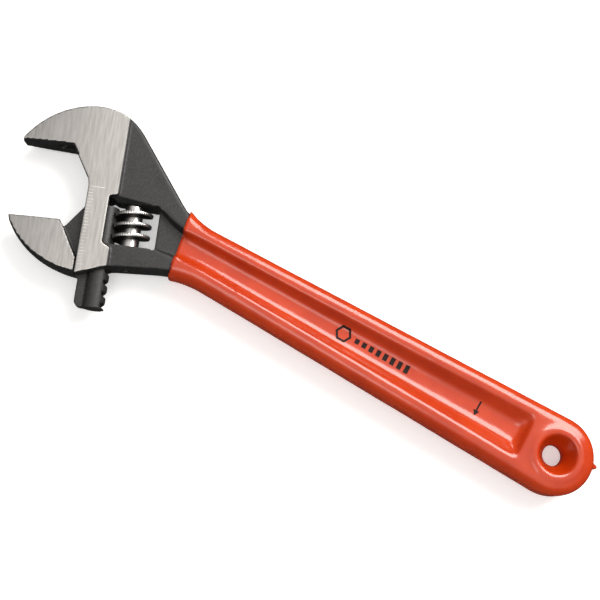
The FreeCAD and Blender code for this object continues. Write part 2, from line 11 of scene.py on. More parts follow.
# %% Load the frame
import bmesh
import bpy
import json
import math
import numpy as np
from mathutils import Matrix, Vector, noise
from mathutils.bvhtree import BVHTree


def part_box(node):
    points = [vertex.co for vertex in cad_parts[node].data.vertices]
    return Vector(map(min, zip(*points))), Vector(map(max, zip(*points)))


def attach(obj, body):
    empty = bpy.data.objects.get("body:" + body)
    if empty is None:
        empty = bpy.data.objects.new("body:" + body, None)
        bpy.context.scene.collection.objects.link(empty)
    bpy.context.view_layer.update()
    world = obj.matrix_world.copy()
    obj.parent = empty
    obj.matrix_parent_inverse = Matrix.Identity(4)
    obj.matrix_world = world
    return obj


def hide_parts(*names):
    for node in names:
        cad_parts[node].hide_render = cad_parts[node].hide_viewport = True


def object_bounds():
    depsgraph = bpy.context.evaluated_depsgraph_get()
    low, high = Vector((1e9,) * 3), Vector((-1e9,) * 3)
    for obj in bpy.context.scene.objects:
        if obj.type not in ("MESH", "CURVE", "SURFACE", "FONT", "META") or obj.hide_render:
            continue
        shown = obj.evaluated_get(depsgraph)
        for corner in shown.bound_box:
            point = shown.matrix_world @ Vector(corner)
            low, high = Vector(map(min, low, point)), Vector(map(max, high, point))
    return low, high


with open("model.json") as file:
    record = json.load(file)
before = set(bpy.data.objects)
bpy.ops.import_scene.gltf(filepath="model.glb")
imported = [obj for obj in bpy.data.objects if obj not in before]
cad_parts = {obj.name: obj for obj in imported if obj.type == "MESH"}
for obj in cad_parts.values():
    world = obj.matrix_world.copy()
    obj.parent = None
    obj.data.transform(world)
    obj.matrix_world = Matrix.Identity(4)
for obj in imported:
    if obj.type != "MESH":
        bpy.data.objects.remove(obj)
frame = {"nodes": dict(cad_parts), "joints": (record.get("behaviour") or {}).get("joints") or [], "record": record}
cad_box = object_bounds()
print("pieces in the frame:", sorted(frame["nodes"]))

# %% [markdown]
# ## The head's own axes
# The jaws stand at an angle to the handle, so most of the head is easier to describe in its own axes:
# s runs out along the jaws, t runs the way the sliding jaw opens, and z is square to the flat sides.
# The joint that slides the jaw gives t, and the fixed jaw's face gives the place where t is zero.

# %% The head's axes
MM = 0.001
joints = {joint["name"]: joint for joint in frame["joints"]}
mounts = {mount["name"]: mount for mount in frame["record"]["mounts"]}
coupling = frame["record"]["behaviour"]["couplings"][0]
T_AXIS = Vector(joints["jaw_slide"]["axis"]).normalized()
Z_AXIS = Vector((0, 0, 1))
S_AXIS = T_AXIS.cross(Z_AXIS)
FACE_MOUNT_S = 38.0             # the jaw-face mounts' distance from the rail's axis
HEAD_ORIGIN = Vector(mounts["fixed_jaw_face"]["pos_m"]) - S_AXIS * FACE_MOUNT_S * MM
PITCH = 2 * math.pi / abs(coupling["ratio"]) / MM


def head(s, t, z=0.0):
    """Point in metres, in the frame, of a place in the head's axes, in millimetres."""
    return HEAD_ORIGIN + (S_AXIS * s + T_AXIS * t + Z_AXIS * z) * MM


def to_head(co):
    """s, t and z, in millimetres, of an array of points of the frame."""
    rel = (co - np.array(HEAD_ORIGIN)) / MM
    return rel @ np.array(S_AXIS), rel @ np.array(T_AXIS), rel[:, 2]


print("worm pitch", round(PITCH, 3), "mm; head origin", [round(v / MM, 1) for v in HEAD_ORIGIN])

# %% [markdown]
# ## Sizes that the finish needs
# A finish changes where the machining changes: at the back edge of the ground band, round the worm's
# window, at the dip line. These sizes are the design's own, in millimetres and in the head's axes.
# Towards the jaw tips the sides curve in along a large arc, and its radius follows from how much
# thinner the tips are.

# %% Sizes, and the height of the ground sides
PAD_HALF = 8.3                  # half thickness of the ground head
TIP_HALF = 4.9                  # half thickness at the jaw tips
TAPER_START = 8.0               # s where the sides start to curve in
JAW_REACH = 44.8                # s of the jaw tips
WINDOW_TOP_T = 25.4             # the worm's window
WINDOW_LENGTH = 21.0
WINDOW_BACK_S = -24.4
FRONT_S = 10.2                  # front of the rail housing
BACK_S = -4.6                   # back edge of the ground band
DIP_X = 202.0                   # where the grip ends, on the handle's centre line
DIP_LEAN = math.radians(11.5)

TAPER_RUN = JAW_REACH - TAPER_START
TAPER_DROP = PAD_HALF - TIP_HALF
TAPER_R = (TAPER_RUN ** 2 + TAPER_DROP ** 2) / (2 * TAPER_DROP)


def side_height(s):
    """Height of the ground side above the mid plane at s."""
    past = np.maximum(0, s - TAPER_START)
    return PAD_HALF - (TAPER_R - np.sqrt(TAPER_R ** 2 - past ** 2))


print("radius of the tapered sides", round(TAPER_R), "mm")

# %% [markdown]
# ## Reading and writing meshes
# Python loops over a hundred thousand vertices are slow. Blender can hand all of them to numpy at once
# with foreach_get and take them back with foreach_set, so the shapes below are worked out on arrays.

# %% Tools that read and write meshes
def coordinates(mesh):
    """All vertex places of a mesh as one array."""
    co = np.empty(len(mesh.vertices) * 3)
    mesh.vertices.foreach_get("co", co)
    return co.reshape(-1, 3)


def normals(mesh):
    """All vertex normals of a mesh as one array."""
    out = np.empty(len(mesh.vertices) * 3)
    mesh.vertex_normals.foreach_get("vector", out)
    return out.reshape(-1, 3)


def set_coordinates(mesh, co):
    """Put changed vertex places back in a mesh."""
    mesh.vertices.foreach_set("co", co.ravel())
    mesh.update()


def new_object(name, mesh):
    """Link a new object to the scene."""
    piece = bpy.data.objects.new(name, mesh)
    bpy.context.scene.collection.objects.link(piece)
    return piece


def from_nodes(name, *nodes):
    """New object whose mesh joins copies of CAD nodes."""
    bm = bmesh.new()
    for node in nodes:
        bm.from_mesh(frame["nodes"][node].data)
    bmesh.ops.remove_doubles(bm, verts=bm.verts, dist=0.001 * MM)
    mesh = bpy.data.meshes.new(name)
    bm.to_mesh(mesh)
    bm.free()
    return new_object(name, mesh)


def shade_smooth(piece, sharp_degrees=None):
    """Smooth shading on every face, but not across edges sharper than an angle."""
    piece.data.polygons.foreach_set("use_smooth", [True] * len(piece.data.polygons))
    if sharp_degrees:
        piece.data.set_sharp_from_angle(angle=math.radians(sharp_degrees))
    piece.data.update()


print("CAD meshes:", {name: len(piece.data.polygons) for name, piece in sorted(frame["nodes"].items())})

# %% [markdown]
# ## Skins, smoothing and cuts
# A voxel remesh turns a sharp-edged solid into an even skin of small quads whose edges are slightly
# broken, which is just what a forging or a dipped coat has. A bevel would do it too, but it fails where
# many small faces meet. Smoothing with a weight for each vertex then rounds the forged edges more than
# the machined ones. Each modifier is baked, so every piece ends as a plain mesh.

# %% Tools that shape meshes
VOXEL = 1.0


def bake(piece):
    """Replace a piece's mesh by what its modifiers make of it."""
    graph = bpy.context.evaluated_depsgraph_get()
    mesh = bpy.data.meshes.new_from_object(piece.evaluated_get(graph))
    piece.modifiers.clear()
    piece.data = mesh
    return piece


def remesh(piece, voxel_mm):
    """Even skin of quads about voxel_mm wide."""
    modifier = piece.modifiers.new("skin", "REMESH")
    modifier.mode = "VOXEL"
    modifier.voxel_size = voxel_mm * VOXEL * MM
    return bake(piece)


def smooth(piece, weights, rounds, step=0.5):
    """Move each vertex towards its neighbours' mean, as far as its weight says."""
    mesh = piece.data
    edges = np.empty(len(mesh.edges) * 2, int)
    mesh.edges.foreach_get("vertices", edges)
    first, second = edges.reshape(-1, 2).T
    count = np.bincount(edges, minlength=len(mesh.vertices))[:, None]
    co = coordinates(mesh)
    pull = (step * weights)[:, None]
    for _ in range(rounds):
        total = np.zeros_like(co)
        np.add.at(total, first, co[second])
        np.add.at(total, second, co[first])
        co += pull * (total / count - co)
    set_coordinates(mesh, co)


def cut_plane(piece, point, normal):
    """Take away what lies on the normal's side of a plane, and close the cut."""
    bm = bmesh.new()
    bm.from_mesh(piece.data)
    everything = bm.verts[:] + bm.edges[:] + bm.faces[:]
    done = bmesh.ops.bisect_plane(bm, geom=everything, plane_co=point, plane_no=normal, clear_outer=True)
    rim = [item for item in done["geom_cut"] if isinstance(item, bmesh.types.BMEdge)]
    bmesh.ops.holes_fill(bm, edges=rim)
    bm.to_mesh(piece.data)
    bm.free()
    piece.data.update()


def step_up(value, low, high):
    """Smooth step from 0 at low to 1 at high."""
    share = np.clip((value - low) / (high - low), 0, 1)
    return share * share * (3 - 2 * share)


print("voxels are scaled by", VOXEL)

# %% [markdown]
# ## Cut and forged surfaces
# A forging has no sharp edge until a machine cuts one. So the shaping needs to know which is which:
# the ground band and everything in front of it is cut, and so is the rim of the worm's window with the
# thumb relief above it. The weights fade over a millimetre or two, because a hard change would show.

# %% Weights of forged and ground surfaces
FADE = 1.5                      # width of a fade round the window
BAND_CLEAR = 1.2                # the band's edge keeps its sharpness this far back
BAND_FADE_END = 3.5
RELIEF_REACH = 4.2              # thumb relief above the window
RIM = 1.0                       # crisp rim at the window's other sides
GRIND_REACH = 0.07              # how far a grinding pass brings the surface to its height
GRIND_PAST = 1.0                # the pass runs on this far behind the band


def forged_weight(s, t):
    """0 on cut surfaces and their edges, 1 on the skin that is left as forged."""
    behind = step_up(-s, -BACK_S + BAND_CLEAR, -BACK_S + BAND_FADE_END)
    top = step_up(WINDOW_TOP_T - RELIEF_REACH - t, 0, FADE)
    below = step_up(t - WINDOW_TOP_T - WINDOW_LENGTH - RIM, 0, FADE)
    far = step_up(WINDOW_BACK_S - s - RIM, 0, FADE)
    clear_of_window = np.maximum(np.maximum(top, below), far)
    return behind * clear_of_window


def grind(piece):
    """Set the vertices that are nearly on the ground sides exactly on them."""
    co = coordinates(piece.data)
    s, t, z = to_head(co)
    height = side_height(s)
    near = (np.abs(z) > height - GRIND_REACH) & (s > BACK_S - GRIND_PAST)
    co[near, 2] = np.sign(z[near]) * height[near] * MM
    set_coordinates(piece.data, co)
    return int(near.sum())


print("half thickness at the band and the tips:", side_height(np.array([0.0, JAW_REACH])).round(2), "mm")

# %% [markdown]
# ## The forging
# The head is skinned with small voxels; where the surface is as forged it is smoothed a lot, and near
# the ground band, the window and the jaw face only a little. At last the sides are "ground": every
# vertex that is nearly at the height of the ground side is put exactly on it, so that the side reflects
# like a flat. The handle's core is hidden in the grip, so it stays as the design has it.

# %% Head and handle of the forging
CORE_X = DIP_X - 9.0            # the remeshed head ends here, inside the grip
HEAD_VOXEL = 0.45
SHARP_DEGREES = 28              # steel edges sharper than this stay crisp
CUT_SOFTNESS = 0.25             # share of the first, light smoothing that cut surfaces get


def make_forging():
    """Head in a fine soft skin, and the handle's core as the CAD has it."""
    forging = from_nodes("forged_body", "body")
    cut_plane(forging, Vector((CORE_X * MM, 0, 0)), Vector((-1, 0, 0)))
    remesh(forging, HEAD_VOXEL)
    s, t, _ = to_head(coordinates(forging.data))
    forged = forged_weight(s, t)
    smooth(forging, CUT_SOFTNESS + (1 - CUT_SOFTNESS) * forged, 3)
    smooth(forging, forged, 14)
    ground = grind(forging)
    shade_smooth(forging, SHARP_DEGREES)
    core = from_nodes("core", "body")
    cut_plane(core, Vector((CORE_X * MM, 0, 0)), Vector((1, 0, 0)))
    bm = bmesh.new()
    bm.from_mesh(forging.data)
    bm.from_mesh(core.data)
    bm.to_mesh(forging.data)
    bm.free()
    bpy.data.objects.remove(core)
    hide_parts("body")
    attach(forging, "frame")
    print("forging:", len(forging.data.polygons), "faces,", ground, "vertices ground flat")
    return forging


forging = make_forging()

# %% [markdown]
# ## The sliding jaw
# The jaw, its web, the rail and the rack are one piece. The same skin is used, a little finer, because
# the lobes of the rack are small. Its two sides are ground together with the head's, and only its round
# back is left as forged, so only that is smoothed a lot.

# %% Sliding jaw
JAW_VOXEL = 0.36
BACK_SLOPE = 0.35               # the jaw's back leans towards its tip
BACK_T = 40.0                   # where the back starts, below the tip
BACK_FADE = 4.0
HEEL_S = 11.5                   # the heel keeps clear of the housing
HEEL_FADE = 2.0
JAW_SOFTNESS = 0.6
SIDE_CLEAR = 0.1                # the smoothing of the back starts this far below the ground side
SIDE_FADE_END = 0.8


def make_sliding_jaw():
    """Jaw with slightly broken edges and ground sides."""
    jaw = from_nodes("sliding_jaw", "movable_jaw")
    remesh(jaw, JAW_VOXEL)
    s, t, z = to_head(coordinates(jaw.data))
    back = step_up(t - BACK_SLOPE * (JAW_REACH - s) - BACK_T, 0, BACK_FADE)
    back *= step_up(s, HEEL_S, HEEL_S + HEEL_FADE)
    below_side = step_up(side_height(s) - np.abs(z), SIDE_CLEAR, SIDE_FADE_END)
    smooth(jaw, np.full(len(s), JAW_SOFTNESS), 2)
    smooth(jaw, back * below_side, 10)
    ground = grind(jaw)
    shade_smooth(jaw, SHARP_DEGREES)
    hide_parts("movable_jaw")
    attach(jaw, "jaw")
    print("sliding jaw:", len(jaw.data.polygons), "faces,", ground, "vertices ground flat")
    return jaw


jaw = make_sliding_jaw()

# %% [markdown]
# ## The worm's thread
# A worm is a screw, so its thread is drawn by turning a small profile about the axis and moving it on
# by one pitch each turn. A Screw modifier could do it as well, but it can't let the thread run out at
# its ends, nor cut the fine knurl that a thumb needs: every third step round the crest is a little
# deeper.

# %% Thread of the worm
CREST_R = 9.2
HUB_R = 4.4
CREST_WIDTH = 1.2
FLANK_SLOPE = math.tan(math.radians(11.0))
FIRST_CREST_T = 31.5            # the thread's crest passes the rail here
THREAD_MIDDLE_T = 35.4
THREAD_LENGTH = 15.8
RUN_IN = 0.3                    # the thread's centre line stops this far inside its ends
ROOT_SUNK = 0.3                 # the thread's root lies this far inside the hub
CREST_BEVEL = 0.22
SHOULDER = 0.15                 # how far the bevel's foot stands out past half the crest's width
FLANK_BELLY = 0.05              # how far each flank swells out halfway down
STEPS_PER_TURN = 144
RUN_OUT_STEPS = STEPS_PER_TURN // 7     # the thread rises and fades over a seventh of a turn
RUN_OUT_CURVE = 0.6             # below 1, so that it rises steeply first
KNURL_STEP = 3
KNURL_DEPTH = 0.16
CREST_PLACES = (3, 4, 5)        # the profile's points on the crest
WORM_POINT = Vector(joints["worm_spin"]["pos_m"])
WORM_S = (WORM_POINT - HEAD_ORIGIN).dot(S_AXIS) / MM
THREAD_TURNS = (THREAD_LENGTH - 2 * RUN_IN) / PITCH


def about_worm(radius, t, angle):
    """Point at a radius from the worm's axis; the angle turns from s towards -z."""
    return head(WORM_S + radius * math.cos(angle), t, -radius * math.sin(angle))


def thread_profile(share):
    """(radius, shift along t) round the thread; share is 1 on the full thread, 0 where it runs out."""
    crest = HUB_R + (CREST_R - HUB_R) * share
    root = HUB_R - ROOT_SUNK
    middle = (root + crest) / 2
    crest_half = CREST_WIDTH / 2
    root_half = crest_half + (CREST_R - root) * FLANK_SLOPE
    middle_half = (root_half + crest_half) / 2 + FLANK_BELLY
    shoulder = crest_half + SHOULDER
    return [(root, -root_half), (middle, -middle_half),
            (crest - CREST_BEVEL, -shoulder), (crest, -crest_half + CREST_BEVEL), (crest, 0.0),
            (crest, crest_half - CREST_BEVEL), (crest - CREST_BEVEL, shoulder),
            (middle, middle_half), (root, root_half)]


def add_thread(bm):
    """Helical thread with a knurled crest."""
    start = THREAD_MIDDLE_T - THREAD_LENGTH / 2 + RUN_IN
    steps = int(THREAD_TURNS * STEPS_PER_TURN)
    first_angle = (start - FIRST_CREST_T) / PITCH * 2 * math.pi
    rings = []
    for step in range(steps + 1):
        angle = first_angle + step / STEPS_PER_TURN * 2 * math.pi
        t = start + step / STEPS_PER_TURN * PITCH
        share = min(1.0, step / RUN_OUT_STEPS, (steps - step) / RUN_OUT_STEPS)
        share = math.sin(share * math.pi / 2) ** RUN_OUT_CURVE if share > 0 else 0.0
        ring = []
        for place, (radius, shift) in enumerate(thread_profile(share)):
            if place in CREST_PLACES and step % KNURL_STEP == 0:
                radius -= KNURL_DEPTH
            ring.append(bm.verts.new(about_worm(radius, t + shift, angle)))
        rings.append(ring)
    for one, two in zip(rings, rings[1:]):
        for place in range(len(one) - 1):
            bm.faces.new((one[place], one[place + 1], two[place + 1], two[place]))
        bm.faces.new((one[-1], one[0], two[0], two[-1]))
    bm.faces.new(rings[0][::-1])
    bm.faces.new(rings[-1])


print("worm axis at s", round(WORM_S, 2), "mm;", round(THREAD_TURNS, 2), "turns of thread")

# %% [markdown]
# ## The worm's hub
# The hub is turned on a lathe, so it is one outline carried round the axis: outside, bevelled ends,
# bore, and the pocket that hides the spring. Thread and hub are two closed shells in one mesh, which
# shades as well as a union and keeps every edge of the thread.

# %% Hub, and the whole worm
END_PLAY = 0.15
BORE_R = 1.86
BEVEL = 0.3
HUB_BEVEL = 0.35
POCKET_R = 3.3
POCKET_DEPTH = 5.0
HUB_SIDES = 72
WORM_SHARP_DEGREES = 38


def add_hub(bm):
    """Turned hub with a bore and a spring pocket."""
    top = WINDOW_TOP_T + END_PLAY
    bottom = WINDOW_TOP_T + WINDOW_LENGTH - END_PLAY
    outline = [(POCKET_R, top + POCKET_DEPTH), (POCKET_R, top + BEVEL), (POCKET_R + BEVEL, top),
               (HUB_R - HUB_BEVEL, top), (HUB_R, top + HUB_BEVEL), (HUB_R, bottom - HUB_BEVEL),
               (HUB_R - HUB_BEVEL, bottom), (BORE_R + BEVEL, bottom), (BORE_R, bottom - BEVEL),
               (BORE_R, top + POCKET_DEPTH)]
    angles = [2 * math.pi * i / HUB_SIDES for i in range(HUB_SIDES)]
    hoops = []
    for radius, t in outline:
        hoops.append([bm.verts.new(about_worm(radius, t, angle)) for angle in angles])
    for one, two in zip(hoops, hoops[1:] + hoops[:1]):
        for i in range(HUB_SIDES):
            after = (i + 1) % HUB_SIDES
            bm.faces.new((one[i], one[after], two[after], two[i]))


def make_worm():
    """Thread and hub as one piece."""
    bm = bmesh.new()
    add_thread(bm)
    add_hub(bm)
    bmesh.ops.recalc_face_normals(bm, faces=bm.faces)
    mesh = bpy.data.meshes.new("worm_screw")
    bm.to_mesh(mesh)
    bm.free()
    worm = new_object("worm_screw", mesh)
    shade_smooth(worm, WORM_SHARP_DEGREES)
    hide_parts("adjusting_worm")
    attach(worm, "worm")
    print("worm:", len(mesh.polygons), "faces")
    return worm


worm = make_worm()

# %% [markdown]
# ## The dipped grip
# The handle is dipped in liquid vinyl and hung by its hole's end to drip, so the coat follows the
# I-section, rounds every edge, gathers in the corners, ends in a rounded lip at the dip line and
# leaves a small drip at the tail. A subdivided cage would have to follow all of that by hand. Here the
# coat and the steel inside it are skinned together instead, which closes every seam between them, and
# the skin is smoothed. A slow noise gives the faint unevenness of a coat that ran before it set.

# %% Grip
GRIP_VOXEL = 0.55
LIP_ROUND = 1.0
LIP_SHARE = 0.9                 # the lip turns in by this share of a full round
CUT_FACING = 0.9                # what looks along the handle more than this is the cut itself
SOFT_FROM, SOFT_FULL = 0.2, 4.0         # where smoothing sets in behind the dip line, and is full
HOLLOW_Z = 7.2                  # the hollow's floor and walls lie below this height,
HOLLOW_Y = 11.0                 # inside this half width,
HOLLOW_X = 14.0                 # and on the head's side of the hang hole
HOLLOW_FADE = 1.5
HOLE_FADE = 4.0
LONG_WAVE, SHORT_WAVE = 0.09, 0.03      # heights of the coat's long and short waves
ALONG_RATE, ROUND_RATE = 0.035, 0.12    # long waves per millimetre, along and round the handle
SHORT_RATE = 0.22
DIP_POINT = Vector((DIP_X * MM, 0, 0))
DIP_NORMAL = Vector((math.cos(DIP_LEAN), math.sin(DIP_LEAN), 0))


def hollow_weight(co):
    """1 in the long hollow of the grip, where the coat gathers, and 0 elsewhere."""
    _, y, z = np.abs(co.T) / MM
    low = step_up(HOLLOW_Z - z, 0, HOLLOW_FADE)
    inside = step_up(HOLLOW_Y - y, 0, HOLLOW_FADE)
    past_hole = step_up(co[:, 0] / MM, HOLLOW_X, HOLLOW_X + HOLE_FADE)
    return low * inside * past_hole


def unevenness(co):
    """How far the coat stands out at each point, in millimetres: long waves and short ones."""
    push = np.zeros(len(co))
    for index, point in enumerate(co):
        place = Vector(point) / MM
        stretched = Vector((place.x * ALONG_RATE, place.y * ROUND_RATE, place.z * ROUND_RATE))
        push[index] = LONG_WAVE * noise.noise(stretched) + SHORT_WAVE * noise.noise(place * SHORT_RATE)
    return push


def make_grip():
    """Outer skin of the dipped handle, closed across the dip line."""
    grip = from_nodes("dipped_grip", "grip", "body")
    remesh(grip, GRIP_VOXEL)
    cut_plane(grip, DIP_POINT, DIP_NORMAL)
    behind = (np.array(DIP_POINT) - coordinates(grip.data)) @ np.array(DIP_NORMAL) / MM
    soft = step_up(behind, SOFT_FROM, SOFT_FULL)
    smooth(grip, soft, 22)
    smooth(grip, soft * hollow_weight(coordinates(grip.data)), 50)
    co = coordinates(grip.data)
    normal = normals(grip.data)
    co += normal * (unevenness(co) * soft)[:, None] * MM
    near = np.clip(LIP_ROUND - behind, 0, LIP_ROUND)
    fall = LIP_ROUND - np.sqrt(LIP_ROUND ** 2 - near ** 2)
    outside = np.abs(normal @ np.array(DIP_NORMAL)) < CUT_FACING
    co -= normal * (LIP_SHARE * fall * outside)[:, None] * MM
    set_coordinates(grip.data, co)
    shade_smooth(grip)
    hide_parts("grip")
    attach(grip, "frame")
    print("grip:", len(grip.data.polygons), "faces")
    return grip


grip = make_grip()

# %% [markdown]
# ## The opening scale
# The housing carries an opening scale: a long zero line and short ticks a sixteenth of an inch apart.
# On the real tool they are rolled in. A bump could draw them, but then they would be missing from the
# mesh; here each is a sliver of metal a few hundredths of a millimetre proud.

# %% Scale on both sides of the housing
TICK = 1.5875                   # a sixteenth of an inch
TICK_COUNT = 24
TICK_LENGTH = 1.9
LONG_TICK_LENGTH = 2.9
LONG_TICK_EVERY = 4
TICK_WIDTH = 0.22
ZERO_T = 20.2
ZERO_LENGTH = 7.2
ZERO_WIDTH = 0.30
TICK_PROUD = 0.03
TICK_SUNK = 0.1
SCALE_INSET = 0.7               # the marks keep this far from the housing's front edge


def add_bar(bm, corners, low, high):
    """Flat bar: outline corners in metres, from height low to height high, in millimetres."""
    verts = []
    for z in (low, high):
        verts.append([bm.verts.new(Vector((p.x, p.y, z * MM))) for p in corners])
    count = len(corners)
    bm.faces.new(verts[0][::-1])
    bm.faces.new(verts[1])
    for i in range(count):
        j = (i + 1) % count
        bm.faces.new((verts[0][i], verts[0][j], verts[1][j], verts[1][i]))


def make_scale():
    """Zero line and ticks along the front edge of the ground band."""
    bm = bmesh.new()
    front = FRONT_S - SCALE_INSET
    marks = [(ZERO_T, ZERO_LENGTH, ZERO_WIDTH)]
    for index in range(1, TICK_COUNT + 1):
        length = LONG_TICK_LENGTH if index % LONG_TICK_EVERY == 0 else TICK_LENGTH
        marks.append((ZERO_T + index * TICK, length, TICK_WIDTH))
    for side in (1, -1):
        for t, length, wide in marks:
            corners = [head(front, t - wide / 2), head(front, t + wide / 2),
                       head(front - length, t + wide / 2), head(front - length, t - wide / 2)]
            heights = sorted((side * (PAD_HALF - TICK_SUNK), side * (PAD_HALF + TICK_PROUD)))
            add_bar(bm, corners, *heights)
    bmesh.ops.recalc_face_normals(bm, faces=bm.faces)
    mesh = bpy.data.meshes.new("opening_scale")
    bm.to_mesh(mesh)
    bm.free()
    scale = new_object("opening_scale", mesh)
    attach(scale, "frame")
    print("scale:", len(marks), "marks on each side")
    return scale


scale = make_scale()

# %% [markdown]
# ## Printed signs
# Plain signs are printed in the hollow of the grip: a nut, a row of bars that stand for its sizes, and
# an arrow to the side that should lead when the wrench is turned. The floor of the hollow isn't flat,
# so each sign is cut in small cells, and a ray from above lays every corner on the coat.

# %% Laying a patch on the coat
INK = 0.05                      # height of the ink above the coat
CELL = 0.45                     # signs are laid on the coat in cells of this size
ABOVE = 20.0                    # rays start this high


def drape(bm, tree, corners):
    """Lay a four-cornered patch on the coat, in small cells a little above it."""
    a, b, c, d = (Vector(corner) for corner in corners)
    across = max(1, math.ceil(max((b - a).length, (c - d).length) / CELL))
    along = max(1, math.ceil(max((d - a).length, (c - b).length) / CELL))
    rows = []
    for i in range(along + 1):
        left, right = a.lerp(d, i / along), b.lerp(c, i / along)
        row = []
        for j in range(across + 1):
            x, y = left.lerp(right, j / across)
            spot = tree.ray_cast(Vector((x, y, ABOVE)) * MM, -Z_AXIS)[0]
            row.append(bm.verts.new(spot + Vector((0, 0, INK * MM))))
        rows.append(row)
    for low, high in zip(rows, rows[1:]):
        for j in range(across):
            bm.faces.new((low[j], low[j + 1], high[j + 1], high[j]))


def stroke_corners(x0, y0, x1, y1, wide):
    """Corners of a straight stroke between two points."""
    start, end = Vector((x0, y0)), Vector((x1, y1))
    side = (end - start).normalized().orthogonal() * wide / 2
    return [start + side, start - side, end - side, end + side]


coat_tree = BVHTree.FromObject(grip, bpy.context.evaluated_depsgraph_get())
print("signs lie", INK, "mm above the coat, in cells of", CELL, "mm")

# %% [markdown]
# ## A nut, size bars and an arrow
# The nut is six straight strokes round a point. The bars grow from the nut towards the tail, as sizes
# do. When the patches are laid, a Solidify modifier gives the ink a body on both sides of its sheet, so
# the signs export as closed shapes.

# %% Printed signs on the grip
NUT_X, NUT_Y, NUT_R = 113.5, -1.0, 3.6
NUT_STROKE = 1.2
BAR_COUNT = 8
BAR_START, BAR_STEP, BAR_WIDTH = 7.4, 3.8, 2.2
BAR_HALF, BAR_GROWTH = 1.2, 0.12
ARROW_X, ARROW_TAIL, ARROW_NECK, ARROW_TIP = 41.7, -5.0, -0.4, 2.2
SHAFT_WIDTH, BARB_HALF, TIP_HALF_WIDTH = 0.8, 1.6, 0.05


def add_nut(bm):
    """Hexagon of six strokes."""
    inner, outer = NUT_R - NUT_STROKE / 2, NUT_R + NUT_STROKE / 2
    for i in range(6):
        a, b = math.radians(60 * i), math.radians(60 * (i + 1))
        corners = [(NUT_X + r * math.cos(w), NUT_Y + r * math.sin(w)) for r, w in
                   ((inner, a), (outer, a), (outer, b), (inner, b))]
        drape(bm, coat_tree, corners)


def add_bars(bm):
    """Row of bars, each a little longer than the one before."""
    for i in range(BAR_COUNT):
        x = NUT_X - BAR_START - i * BAR_STEP
        half = BAR_HALF + BAR_GROWTH * i
        drape(bm, coat_tree, stroke_corners(x, NUT_Y - half, x, NUT_Y + half, BAR_WIDTH))


def add_arrow(bm):
    """Straight shaft and a pointed head."""
    drape(bm, coat_tree, stroke_corners(ARROW_X, ARROW_TAIL, ARROW_X, ARROW_NECK, SHAFT_WIDTH))
    drape(bm, coat_tree, [(ARROW_X - BARB_HALF, ARROW_NECK), (ARROW_X + BARB_HALF, ARROW_NECK),
                          (ARROW_X + TIP_HALF_WIDTH, ARROW_TIP), (ARROW_X - TIP_HALF_WIDTH, ARROW_TIP)])


def make_signs():
    """A nut, a row of size bars and an arrow, printed in the hollow of the grip."""
    bm = bmesh.new()
    add_nut(bm)
    add_bars(bm)
    add_arrow(bm)
    bmesh.ops.recalc_face_normals(bm, faces=bm.faces)
    mesh = bpy.data.meshes.new("printed_signs")
    bm.to_mesh(mesh)
    bm.free()
    signs = new_object("printed_signs", mesh)
    solid = signs.modifiers.new("ink", "SOLIDIFY")
    solid.thickness = 2 * INK * MM
    solid.offset = 0
    bake(signs)
    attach(signs, "frame")
    print("signs:", len(signs.data.polygons), "faces")
    return signs


signs = make_signs()

# %% [markdown]
# ## Shared effects as node groups
# Three effects return in several finishes, so each is a node group: the place in the head's axes, a
# grain of fine pits, and brush lines that run along one direction. A group gives out only values;
# the shader itself stays in each material. Nodes are many and wordy in Python, so a few helpers first
# shorten what every tree repeats: make a node, join it, do a sum, map a range, mix two colours.

# %% Node helpers
def group(name, inputs, outputs):
    """Empty shader node group with float sockets, its input node and its output node."""
    tree = bpy.data.node_groups.new(name, "ShaderNodeTree")
    for socket, kind, value in inputs:
        made = tree.interface.new_socket(socket, in_out="INPUT", socket_type=kind)
        if value is not None:
            made.default_value = value
    for socket, kind in outputs:
        tree.interface.new_socket(socket, in_out="OUTPUT", socket_type=kind)
    return tree, tree.nodes.new("NodeGroupInput"), tree.nodes.new("NodeGroupOutput")


def node(tree, kind, links=None, **values):
    """New node: values set its properties or unlinked inputs, links join its inputs."""
    made = tree.nodes.new(kind)
    for key, value in values.items():
        if hasattr(made, key):
            setattr(made, key, value)
        else:
            made.inputs[key.replace("_", " ")].default_value = value
    for key, source in (links or {}).items():
        tree.links.new(source, made.inputs[key])
    return made


def math_node(tree, operation, a, b=None, c=None):
    """Math node; each operand is a number or a socket."""
    made = tree.nodes.new("ShaderNodeMath")
    made.operation = operation
    for index, value in enumerate((a, b, c)):
        if value is None:
            continue
        if isinstance(value, (int, float)):
            made.inputs[index].default_value = value
        else:
            tree.links.new(value, made.inputs[index])
    return made.outputs[0]


def ramp(tree, factor, low, high, to_low=0.0, to_high=1.0):
    """Map a value from low..high to to_low..to_high, clamped and smooth."""
    made = tree.nodes.new("ShaderNodeMapRange")
    made.interpolation_type = "SMOOTHSTEP"
    for key, value in (("From Min", low), ("From Max", high), ("To Min", to_low), ("To Max", to_high)):
        made.inputs[key].default_value = value
    tree.links.new(factor, made.inputs["Value"])
    return made.outputs["Result"]


def mix_colour(tree, factor, one, two):
    """Mix two colours; each is a colour or a socket."""
    made = tree.nodes.new("ShaderNodeMix")
    made.data_type = "RGBA"
    tree.links.new(factor, made.inputs["Factor"])
    for key, value in (("A", one), ("B", two)):
        socket = [s for s in made.inputs if s.name == key and s.type == "RGBA"][0]
        if isinstance(value, tuple):
            socket.default_value = (*value, 1)
        else:
            tree.links.new(value, socket)
    return [s for s in made.outputs if s.type == "RGBA"][0]


print("shader groups so far:", len(bpy.data.node_groups))

